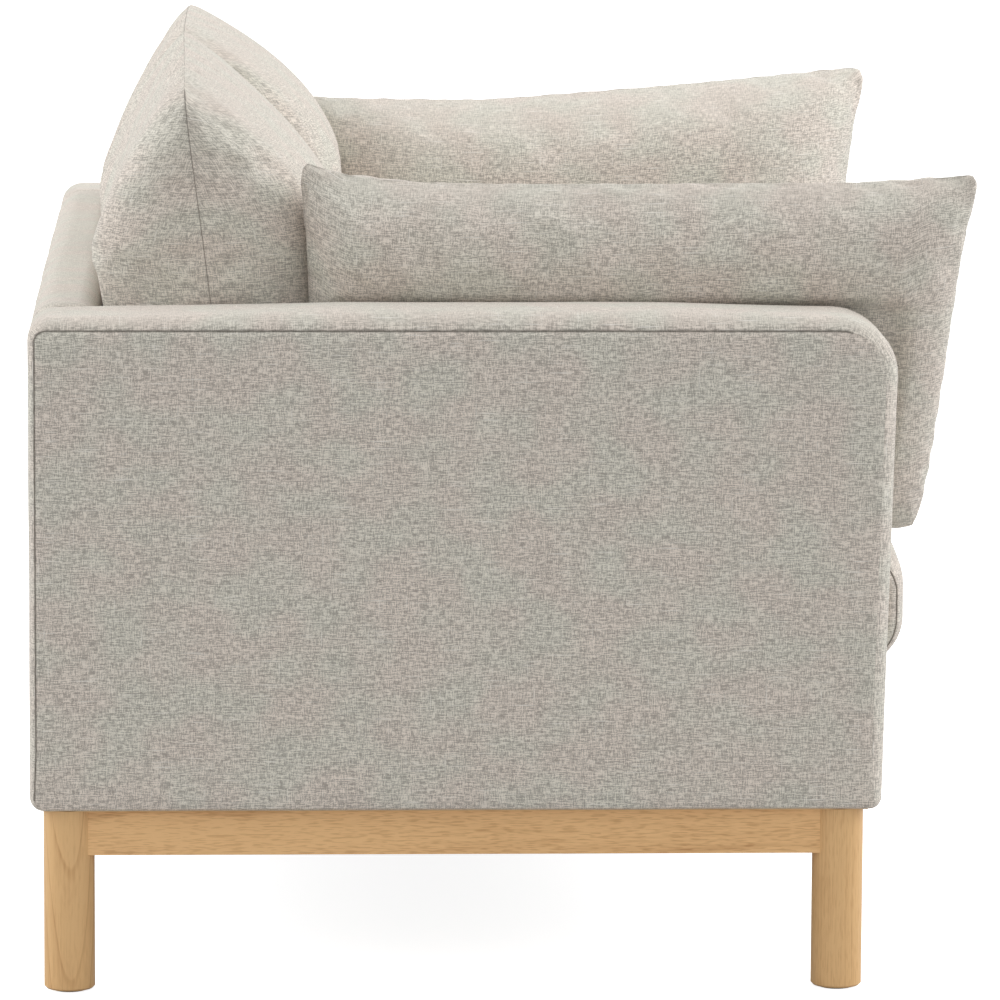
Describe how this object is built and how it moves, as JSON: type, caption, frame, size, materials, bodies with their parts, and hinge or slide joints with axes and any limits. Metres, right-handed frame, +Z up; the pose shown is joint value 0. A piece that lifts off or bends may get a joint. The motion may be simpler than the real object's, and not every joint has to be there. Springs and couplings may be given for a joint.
{
  "type": "sofa",
  "caption": "Compact upholstered sofa on round wooden legs, with box arms, loose seat and back cushions, and large arm pillows.",
  "frame": {"origin": "centre of the footprint of the whole part, at floor level", "axes": "+X along the sofa, +Y from front to back, +Z up"},
  "size_m": [1.42, 0.935, 0.885],
  "materials": {
    "oak": "satin",
    "linen": "matte",
    "beech": "matte",
    "softwood": "matte",
    "plywood": "matte",
    "glide_nylon": "matte",
    "zinc_steel": "satin",
    "spring_steel": "satin",
    "upholstery_foam": "matte",
    "cushion_foam": "matte",
    "fibre_fill": "matte",
    "deck_cloth": "matte",
    "dust_cloth": "matte",
    "webbing": "matte",
    "zip_tape": "matte",
    "zip_metal": "satin"
  },
  "bodies": {
    "frame": {"leg_front_left": "oak", "leg_front_right": "oak", "leg_back_left": "oak", "leg_back_right": "oak", "leg_glides": "glide_nylon", "base_rail_front": "oak", "base_rail_back": "oak", "base_rail_left": "oak", "base_rail_right": "oak", "rail_dowels": "beech", "leg_hanger_bolts": "zinc_steel", "leg_tee_nuts": "zinc_steel", "seat_rail_front": "softwood", "seat_rail_back": "softwood", "seat_rail_left": "softwood", "seat_rail_right": "softwood", "seat_centre_brace": "softwood", "corner_blocks": "softwood", "seat_springs": "spring_steel", "spring_clips": "zinc_steel", "deck_pad": "upholstery_foam", "deck_cloth": "deck_cloth", "dust_cover": "dust_cloth", "front_border_pad": "upholstery_foam", "front_border_cover": "linen", "arm_frame_left": "plywood", "arm_frame_right": "plywood", "arm_padding_left": "upholstery_foam", "arm_padding_right": "upholstery_foam", "arm_cover_left": "linen", "arm_cover_right": "linen", "frame_bolts": "zinc_steel", "back_frame": "softwood", "back_webbing": "webbing", "back_padding": "upholstery_foam", "back_cover": "linen"},
    "seat_cushion_left": {"seat_cushion_core_left": "cushion_foam", "seat_cushion_cover_left": "linen", "seat_cushion_zip_left": "zip_tape"},
    "back_cushion_left": {"back_cushion_fill_left": "fibre_fill", "back_cushion_cover_left": "linen", "back_cushion_zip_left": "zip_tape"},
    "arm_pillow_left": {"arm_pillow_fill_left": "fibre_fill", "arm_pillow_cover_left": "linen", "arm_pillow_zip_left": "zip_tape"},
    "seat_slider_left": {"seat_zip_slider_left": "zip_metal"},
    "back_slider_left": {"back_zip_slider_left": "zip_metal"},
    "pillow_slider_left": {"pillow_zip_slider_left": "zip_metal"},
    "seat_cushion_right": {"seat_cushion_core_right": "cushion_foam", "seat_cushion_cover_right": "linen", "seat_cushion_zip_right": "zip_tape"},
    "back_cushion_right": {"back_cushion_fill_right": "fibre_fill", "back_cushion_cover_right": "linen", "back_cushion_zip_right": "zip_tape"},
    "arm_pillow_right": {"arm_pillow_fill_right": "fibre_fill", "arm_pillow_cover_right": "linen", "arm_pillow_zip_right": "zip_tape"},
    "seat_slider_right": {"seat_zip_slider_right": "zip_metal"},
    "back_slider_right": {"back_zip_slider_right": "zip_metal"},
    "pillow_slider_right": {"pillow_zip_slider_right": "zip_metal"}
  },
  "joints": [
    {"name": "seat_cushion_left_pull_out", "type": "slide", "parent": "frame", "child": "seat_cushion_left", "axis": [0, -1, 0], "range_m": [0, 0.3]},
    {"name": "back_cushion_left_lift_off", "type": "slide", "parent": "frame", "child": "back_cushion_left", "axis": [0, 0, 1], "range_m": [0, 0.35]},
    {"name": "arm_pillow_left_lift_off", "type": "slide", "parent": "frame", "child": "arm_pillow_left", "axis": [0, 0, 1], "range_m": [0, 0.35]},
    {"name": "seat_zip_left", "type": "slide", "parent": "seat_cushion_left", "child": "seat_slider_left", "axis": [1, 0, 0], "range_m": [0, 0.432]},
    {"name": "back_zip_left", "type": "slide", "parent": "back_cushion_left", "child": "back_slider_left", "axis": [1, 0, 0], "range_m": [0, 0.432]},
    {"name": "pillow_zip_left", "type": "slide", "parent": "arm_pillow_left", "child": "pillow_slider_left", "axis": [0, 1, 0], "range_m": [0, 0.432]},
    {"name": "seat_cushion_right_pull_out", "type": "slide", "parent": "frame", "child": "seat_cushion_right", "axis": [0, -1, 0], "range_m": [0, 0.3]},
    {"name": "back_cushion_right_lift_off", "type": "slide", "parent": "frame", "child": "back_cushion_right", "axis": [0, 0, 1], "range_m": [0, 0.35]},
    {"name": "arm_pillow_right_lift_off", "type": "slide", "parent": "frame", "child": "arm_pillow_right", "axis": [0, 0, 1], "range_m": [0, 0.35]},
    {"name": "seat_zip_right", "type": "slide", "parent": "seat_cushion_right", "child": "seat_slider_right", "axis": [-1, 0, 0], "range_m": [0, 0.432]},
    {"name": "back_zip_right", "type": "slide", "parent": "back_cushion_right", "child": "back_slider_right", "axis": [-1, 0, 0], "range_m": [0, 0.432]},
    {"name": "pillow_zip_right", "type": "slide", "parent": "arm_pillow_right", "child": "pillow_slider_right", "axis": [0, 1, 0], "range_m": [0, 0.432]}
  ]
}
